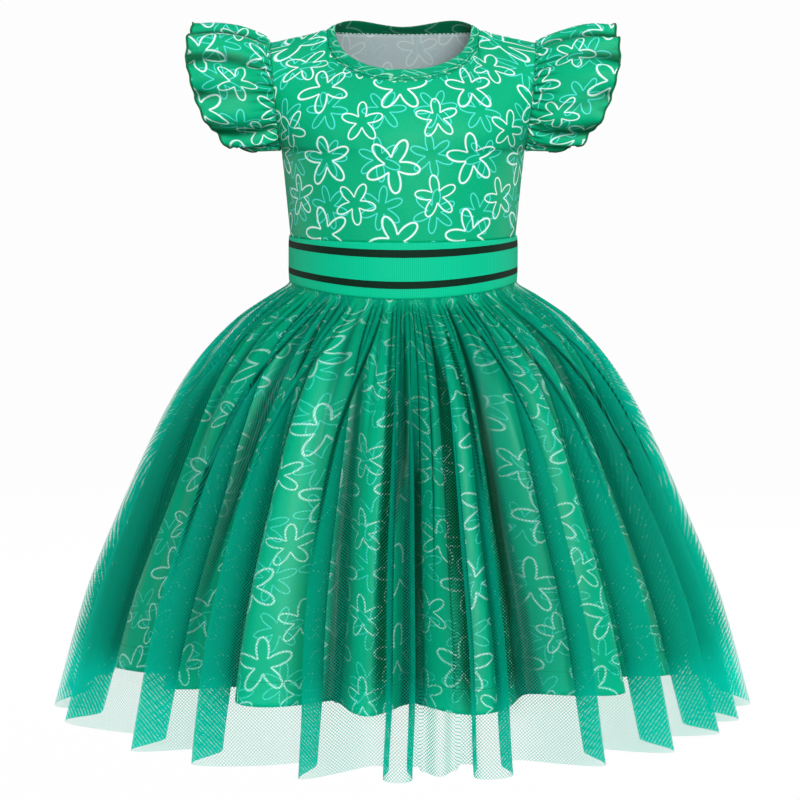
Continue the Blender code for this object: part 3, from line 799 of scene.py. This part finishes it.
def skirt_placer(table, pleats, mean_depth, start, folds):
    """Returns place(across, up) for one skirt panel: rounded pleats that grow and lean as they fall,
    with the gathers and tucks of the waist seam fading out above them."""
    edges = [0.0]
    for pleat in pleats:
        edges.append(edges[-1] + math.radians(pleat[0]))
    top, bottom = table[0]["z"], table[-1]["z"]
    found = {}

    def place(across, up):
        z = top + (bottom - top) * (1 - up) ** 1.15
        row = found.get(up) or found.setdefault(up, shape_at(table, z))
        where = min(across * len(pleats), len(pleats) - 1e-9)
        number = int(where)
        share = where - number
        _, depth, lean, pinch = pleats[number]
        width = edges[number + 1] - edges[number]
        wave = (1 - math.cos(FULL_TURN * share)) / 2
        sideways = lean * wave + pinch * math.sin(2 * FULL_TURN * share)
        angle = start + edges[number] + width * (share + row["lean"] * sideways)
        below = top - z
        fall = below / (top - bottom)
        free = max(0.0, math.sin(math.pi * across))
        angle += WANDER * free * fall * noise.noise(Vector((angle * 1.6, fall * 2.2, start)))
        drawn = min(1.0, max(0.0, (below - 2.0) / 10.0)) * max(0.0, 1 - below / GATHER_LENGTH) ** 1.5
        puckers = folds["gather_depth"] * drawn * (1 - math.cos(FULL_TURN * folds["gathers"] * across)) / 2
        strength = 0.75 + 0.5 * noise.noise(Vector((across * 31, 0.3, start)))
        out = depth * row["pleat"] * (wave - folds["trough"] * (1 - wave) ** 3)
        out += puckers * strength - folds["gather_depth"] * drawn
        sway = 0.45 * free * noise.noise(Vector((across * 7, fall * 1.2, start * 2.0)))
        tuck = folds["tucks"] * across + sway
        hollow = (1 - abs(math.sin(math.pi * tuck))) ** 1.6
        chance = 0.7 + 0.9 * noise.noise(Vector((math.floor(tuck + 0.5) * 1.37, 0.7, start)))
        deep = min(1.0, below / 32.0) * max(0.0, 1 - below / folds["tuck_length"]) ** 0.8
        out -= folds["tuck_depth"] * hollow * chance * deep * min(1.0, 4 * free)
        out += 1.6 * fall * free * noise.noise(Vector((angle * 9, fall * 3.0, start + 4.0)))
        lift = 2.2 * fall**2 * noise.noise(Vector((angle * 3.0, 1.7, start)))
        lift += HEM_LIFT * fall**4 * (1 - wave) * depth / 30
        half_width = row["width"] - row["pleat"] * mean_depth
        half_depth = row["depth"] - row["pleat"] * mean_depth
        return ring_point(half_width, half_depth, angle, z + dip(angle) + lift, out)

    return place


# Woven polyester satin: the same print, a brighter gloss, and the thread floats run downwards. Its folds get
# painted shade.
SATIN_GRAIN = {"across": 1.4, "along": 0.25, "strength": 0.2, "distance": 0.3}
printed_satin = printed_cloth(
    "printed polyester satin", {"roughness": 0.36, "gloss": 0.18, "sheen": 0.0}, SATIN_GRAIN,
    ("#00cc9a", "#00b286"), {"white": "#ccfaf6", "aqua": "#56e8e2"}, "#3c5850",
)
satin_reverse = printed_cloth(
    "reverse of the printed satin", {"roughness": 0.75, "gloss": 0.15, "sheen": 0.05}, SATIN_GRAIN,
    ("#a9c4bd", "#9bb8b0"), {"white": "#b9cfc8", "aqua": "#a2c6c0"},
)

for half, start in (("front", -math.pi / 2), ("back", math.pi / 2)):
    place = skirt_placer(SATIN_SHAPE, SATIN_PLEATS[half], SATIN_MEAN_DEPTH, start, SATIN_FOLDS)
    panel = cloth("underskirt_" + half + "_satin", SATIN_COLUMNS, SATIN_ROWS, place, "flared")
    mark_hollows(panel, SATIN_COLUMNS, SATIN_HOLLOWS)
    thicken(panel, SATIN_WALL, [printed_satin, satin_reverse])
    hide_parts("underskirt_" + half)
    line = [place(i / SATIN_COLUMNS, SATIN_STITCH_UP) for i in range(SATIN_COLUMNS + 1)]
    row = stitch_row(
        "underskirt_" + half + "_hem_stitches", line, lambda i: Vector((line[i].x, line[i].y, 0)),
        stitch=2.6, gap=0.7, radius=0.2, finish=sewing_thread,
    )


# Net skirt. One layer of soft polyester net, a front and a back panel gathered tightly into the
# waist seam over the satin. It falls in deep pleats that lap each other, and its edge is left cut.

NET_TOP_Z = -206.0
NET_SHAPE = [
    {"z": NET_TOP_Z, "width": 94.4, "depth": 78.9, "pleat": 0.0, "lean": 0.0},
    {"z": -209.0, "width": 96.5, "depth": 81.0, "pleat": 0.0, "lean": 0.0},
    {"z": -219.0, "width": 114.0, "depth": 98.0, "pleat": 0.06, "lean": 0.0},
    {"z": -238.0, "width": 142.0, "depth": 125.0, "pleat": 0.2, "lean": 0.2},
    {"z": -268.0, "width": 171.0, "depth": 151.0, "pleat": 0.42, "lean": 0.6},
    {"z": -310.0, "width": 196.0, "depth": 174.0, "pleat": 0.62, "lean": 1.0},
    {"z": -375.0, "width": 226.0, "depth": 200.0, "pleat": 0.82, "lean": 1.15},
    {"z": -460.0, "width": 261.0, "depth": 230.0, "pleat": 0.95, "lean": 1.1},
    {"z": -560.0, "width": 290.0, "depth": 255.0, "pleat": 1.0, "lean": 1.0},
]
NET_MEAN_DEPTH = 27.0
NET_PLEATS = {
    "front": [
        (20, 31, -0.2, 0.0), (24, 30, -0.55, 0.0), (13, 28, -0.65, 0.0), (18, 29, -0.55, 0.0), (11, 25, -0.6, 0.0),
        (8, 25, 0.0, 0.16), (6, 9, 0.0, 0.0), (10, 26, 0.0, 0.16), (13, 26, 0.5, 0.0), (13, 29, 0.6, 0.0),
        (13, 28, 0.65, 0.0), (13, 27, 0.5, 0.0), (18, 30, 0.2, 0.0),
    ],
    "back": [
        (17, 28, -0.2, 0.0), (15, 27, -0.5, 0.0), (18, 29, -0.6, 0.0), (12, 26, -0.6, 0.0), (14, 28, -0.45, 0.0),
        (7, 10, 0.0, 0.0), (9, 25, 0.0, 0.16), (13, 24, 0.0, 0.12), (16, 28, 0.5, 0.0), (12, 27, 0.65, 0.0),
        (17, 29, 0.6, 0.0), (13, 26, 0.5, 0.0), (17, 28, 0.2, 0.0),
    ],
}
NET_FOLDS = {
    "gathers": 58, "gather_depth": 4.2, "trough": 0.0,
    "tucks": 26, "tuck_depth": 10.0, "tuck_length": 250.0,
}
NET_HOLLOWS = [(4, 1.4), (16, 38.0)]
NET_COLUMNS = 600
NET_ROWS = 118
# The cloth looks closed where it is turned edge on: the cosines at which that begins and is full
TURN_BEGINS = 0.9
TURN_FULL = 0.15
TURN_BLUR_COLUMNS = 2
# The share of the length, from the waist down, over which the gathers draw the threads together
DRAWN_LENGTH = 0.1
DRAWN_DENSE = 0.1
# How far up the cloth the pleats' turned sides are full, from where they run on up to the waist as laps
LAPS_FROM = 0.35
LAP_DENSE = 0.95
# How much thicker the threads are drawn down in the hollows: painted shade
HOLLOW_DENSE = 0.5
# Just above the satin's hem and just below it: from there down, light comes freely from behind the net, its
# translucent colour is painted brighter as painted backlight, and the painted shade of its folds fades out
GLOW_TOP_Z = -495.0
GLOW_FULL_Z = -530.0


def net_panel(name, half, start):
    """One net panel, with how much the cloth is turned or drawn together at each point as 'dense', which its
    hollows also raise, to darken them as painted shade.
    """
    place = skirt_placer(NET_SHAPE, NET_PLEATS[half], NET_MEAN_DEPTH, start, NET_FOLDS)
    panel = cloth(name, NET_COLUMNS, NET_ROWS, place)
    mark_hollows(panel, NET_COLUMNS, NET_HOLLOWS)
    dense = panel.data.attributes.new("dense", "FLOAT", "POINT")
    hollow = panel.data.attributes["hollow"]
    verts, wide = panel.data.vertices, NET_COLUMNS + 1
    # The painted shade of the folds fades out below the satin's hem
    for vert in verts:
        above_hem = (vert.co.z / MM - GLOW_FULL_Z) / (GLOW_TOP_Z - GLOW_FULL_Z)
        hollow.data[vert.index].value *= min(1.0, max(0.0, above_hem))
    rows = []
    for row in range(NET_ROWS + 1):
        turned = []
        for column in range(wide):
            vert = verts[row * wide + column].co
            after = verts[row * wide + min(column + 1, NET_COLUMNS)].co
            step = after - verts[row * wide + max(column - 1, 0)].co
            round_it = Vector((-vert.y, vert.x, 0)).normalized()
            facing = step.dot(round_it) / max(step.length, 1e-9)
            turned.append(min(1.0, max(0.0, (TURN_BEGINS - facing) / (TURN_BEGINS - TURN_FULL))))
        rows.append(turned)
    laps = rows[round(LAPS_FROM * NET_ROWS)]
    for row, turned in enumerate(rows):
        up = row / NET_ROWS
        lapped = LAP_DENSE * min(1.0, max(0.0, (up - LAPS_FROM) / 0.2))
        drawn = DRAWN_DENSE * max(0.0, 1 - (1 - up) / DRAWN_LENGTH)
        for column in range(wide):
            low, high = max(column - TURN_BLUR_COLUMNS, 0), column + TURN_BLUR_COLUMNS + 1
            near = [max(here, lapped * lap**1.2) for here, lap in zip(turned[low:high], laps[low:high])]
            sunk = HOLLOW_DENSE * hollow.data[row * wide + column].value
            dense.data[row * wide + column].value = min(1.0, sum(near) / len(near) + drawn + sunk)
    return panel


# Hexagonal tulle is drawn here as two crossing families of threads, at a spacing that just shows
green_net, tree, shader = new_cloth_finish("polyester net", 0.5, 0.05, 0.0)
THREAD_SPACING = 2.7
OPEN_WIDTH = 0.16
DENSE_WIDTH = 0.7
cut = node(tree, "UVMap", {"uv_map": "cut"})
xyz = node(tree, "SeparateXYZ", None, {0: cut})
dense = node(tree, "Attribute", {"attribute_name": "dense"})
width = node(
    tree, "MapRange", None, {0: dense.outputs["Fac"], 1: 0.0, 2: 1.0, 3: OPEN_WIDTH, 4: DENSE_WIDTH}
)
families = []
for operation in ("ADD", "SUBTRACT"):
    slant = node(tree, "Math", {"operation": operation}, {0: xyz.outputs[0], 1: xyz.outputs[1]})
    count = node(tree, "Math", {"operation": "DIVIDE"}, {0: slant, 1: THREAD_SPACING * MM})
    part = node(tree, "Math", {"operation": "FRACT"}, {0: count})
    families.append(node(tree, "Math", {"operation": "LESS_THAN"}, {0: part, 1: width}))
threads = node(tree, "Math", {"operation": "MAXIMUM"}, {0: families[0], 1: families[1]})
# The threads' own colour, with painted shade down in the folds
tree.links.new(shaded(tree, linear("#00a08c"), "#3e5a52"), shader.inputs["Base Color"])
# Fine dyed threads let more than half of the light from behind through. They look dark before the satin, and below
# its hem, where the light comes freely from behind, they glow: the lamps' light does come through them, and their
# translucent colour is also painted brighter there by height, as painted backlight, and painted darker down in the
# folds.
LIGHT_THROUGH = 0.6
spot = node(tree, "SeparateXYZ", None, {0: node(tree, "TexCoord").outputs["Object"]})
below = node(tree, "MapRange", None, {0: spot.outputs[2], 1: GLOW_TOP_Z * MM, 2: GLOW_FULL_Z * MM})
painted_backlight = node(tree, "Mix", {"data_type": "RGBA"}, {"Factor": below, 6: linear("#00ceb0"), 7: linear("#00ecd2")})
glow = node(tree, "BsdfTranslucent", None, {"Color": shaded(tree, painted_backlight.outputs[2], "#7a9088")})
yarn = node(tree, "MixShader", None, {0: LIGHT_THROUGH, 1: shader, 2: glow})
holes = node(tree, "BsdfTransparent")
net = node(tree, "MixShader", None, {0: threads, 1: holes, 2: yarn})
tree.links.new(net.outputs[0], tree.nodes["Material Output"].inputs["Surface"])

for half, start in (("front", -math.pi / 2), ("back", math.pi / 2)):
    panel = net_panel("net_" + half + "_panel", half, start)
    panel.data.materials.append(green_net)
    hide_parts("net_skirt_" + half)


# Studio. A round cove of white paper stands well outside the cameras, its floor below the dress and its
# wall curving up on every side. Soft lamps and the camera, at a buyer's eye height, are within it.

FLOOR_Z = -0.9
COVE_RADIUS = 7.5
COVE_CURVE = 1.5
COVE_TOP_Z = 4.0
COVE_STEPS = 72
sweep = bmesh.new()
line = [
    Vector((0, 0, FLOOR_Z)), Vector((COVE_RADIUS - COVE_CURVE, 0, FLOOR_Z)),
    Vector((COVE_RADIUS, 0, FLOOR_Z + COVE_CURVE)), Vector((COVE_RADIUS, 0, COVE_TOP_Z)),
]
verts = [sweep.verts.new(point) for point in line]
for pair in zip(verts, verts[1:]):
    sweep.edges.new(pair)
bmesh.ops.bevel(sweep, geom=verts[1:3], offset=1.0, segments=12, profile=0.5, affect="VERTICES", material=-1)
bmesh.ops.spin(
    sweep, geom=sweep.verts[:] + sweep.edges[:], cent=(0, 0, 0), axis=(0, 0, 1),
    angle=FULL_TURN, steps=COVE_STEPS, use_merge=True,
)
bmesh.ops.remove_doubles(sweep, verts=sweep.verts, dist=0.0001)
bmesh.ops.recalc_face_normals(sweep, faces=sweep.faces)
mesh = bpy.data.meshes.new("paper_sweep")
sweep.to_mesh(mesh)
sweep.free()
mesh.shade_smooth()
backdrop = bpy.data.objects.new("paper_sweep", mesh)
bpy.context.collection.objects.link(backdrop)
# Lit evenly to white, as a paper sweep in a studio is, without lighting the dress from behind
backdrop.visible_diffuse = False
backdrop.visible_glossy = False
paper, tree, shader = new_cloth_finish("matt white paper", 0.9, 0.0, 0.0)
grain = node(tree, "TexNoise", None, {"Scale": 400.0, "Detail": 2.0})
tree.links.new(ground_colour(tree, "#202020", "#1e1e1e", grain), shader.inputs["Base Color"])
shader.inputs["Emission Color"].default_value = linear("#ffffff")
shader.inputs["Emission Strength"].default_value = 0.98
mesh.materials.append(paper)

LAMPS = [
    {"name": "key", "at": (0.8, -2.7, 0.75), "size": 1.2, "power": 74.0},
    {"name": "fill", "at": (-1.2, -2.7, 0.2), "size": 1.6, "power": 20.0},
    {"name": "top", "at": (0.0, -0.4, 2.6), "size": 1.6, "power": 12.0},
    {"name": "rear", "at": (0.3, 2.8, 0.7), "size": 1.2, "power": 60.0},
    {"name": "left", "at": (2.6, 1.2, 0.1), "size": 1.6, "power": 26.0},
    {"name": "right", "at": (-2.6, 1.2, 0.1), "size": 1.6, "power": 26.0},
]
DRESS_MIDDLE = Vector((0.0, 0.0, -0.28))
for lamp in LAMPS:
    light = bpy.data.lights.new(lamp["name"], "AREA")
    light.energy, light.size = lamp["power"], lamp["size"]
    holder = bpy.data.objects.new(lamp["name"], light)
    holder.location = lamp["at"]
    holder.rotation_euler = (DRESS_MIDDLE - holder.location).to_track_quat("-Z", "Y").to_euler()
    holder.visible_camera = False
    bpy.context.collection.objects.link(holder)

world = bpy.data.worlds.new("studio")
world.use_nodes = True
world.node_tree.nodes["Background"].inputs["Color"].default_value = linear("#ffffff")
world.node_tree.nodes["Background"].inputs["Strength"].default_value = 0.15
bpy.context.scene.world = world
bpy.context.scene.view_settings.view_transform = "Standard"

CAMERA_AT = Vector((-0.0025, -2.5, 0.018))
CAMERA_AIM = Vector((-0.0025, 0.0, -0.306))
view = bpy.data.cameras.new("camera")
view.lens = 135.6
camera = bpy.data.objects.new("camera", view)
camera.location = CAMERA_AT
camera.rotation_euler = (CAMERA_AIM - CAMERA_AT).to_track_quat("-Z", "Y").to_euler()
bpy.context.collection.objects.link(camera)
bpy.context.scene.camera = camera
